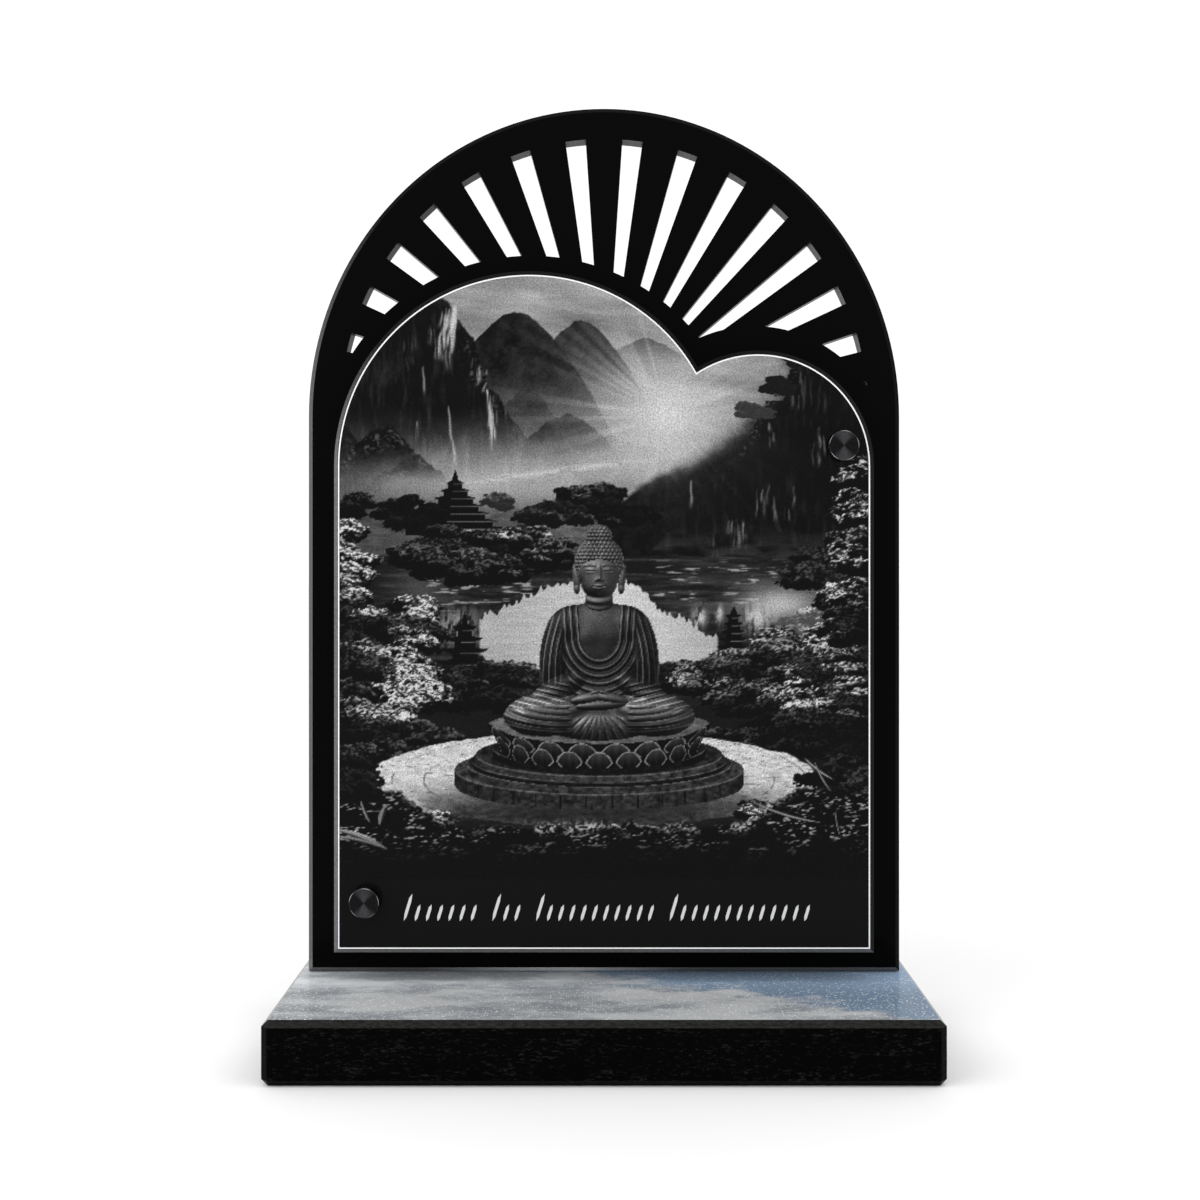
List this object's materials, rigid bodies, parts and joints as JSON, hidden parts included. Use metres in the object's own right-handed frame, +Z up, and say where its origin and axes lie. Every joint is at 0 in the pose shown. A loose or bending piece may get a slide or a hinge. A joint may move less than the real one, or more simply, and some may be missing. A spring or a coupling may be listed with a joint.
{
  "type": "grave plaque",
  "caption": "Standing memorial plaque: arched black back plate with a fan of ray slots on a granite foot, and an engraved plate with a two-arc top held in front of it.",
  "frame": {"origin": "middle of the foot's underside, on the surface that the plaque stands on", "axes": "+Z up, -Y the side that is looked at, +X to the looker's right; the ray fan and the arch are centred on X = 0"},
  "size_m": [0.2084, 0.1, 0.3123],
  "materials": {
    "granite": "polished black granite",
    "back_acrylic": "gloss black acrylic",
    "front_acrylic": "gloss black acrylic, laser engraved",
    "anodised": "turned and black anodised"
  },
  "bodies": {
    "root": {"base": "granite", "back_plate": "back_acrylic", "front_plate": "front_acrylic", "standoff_cap_upper": "anodised", "standoff_cap_lower": "anodised", "standoff_barrel_upper": "anodised", "standoff_barrel_lower": "anodised"}
  },
  "joints": []
}
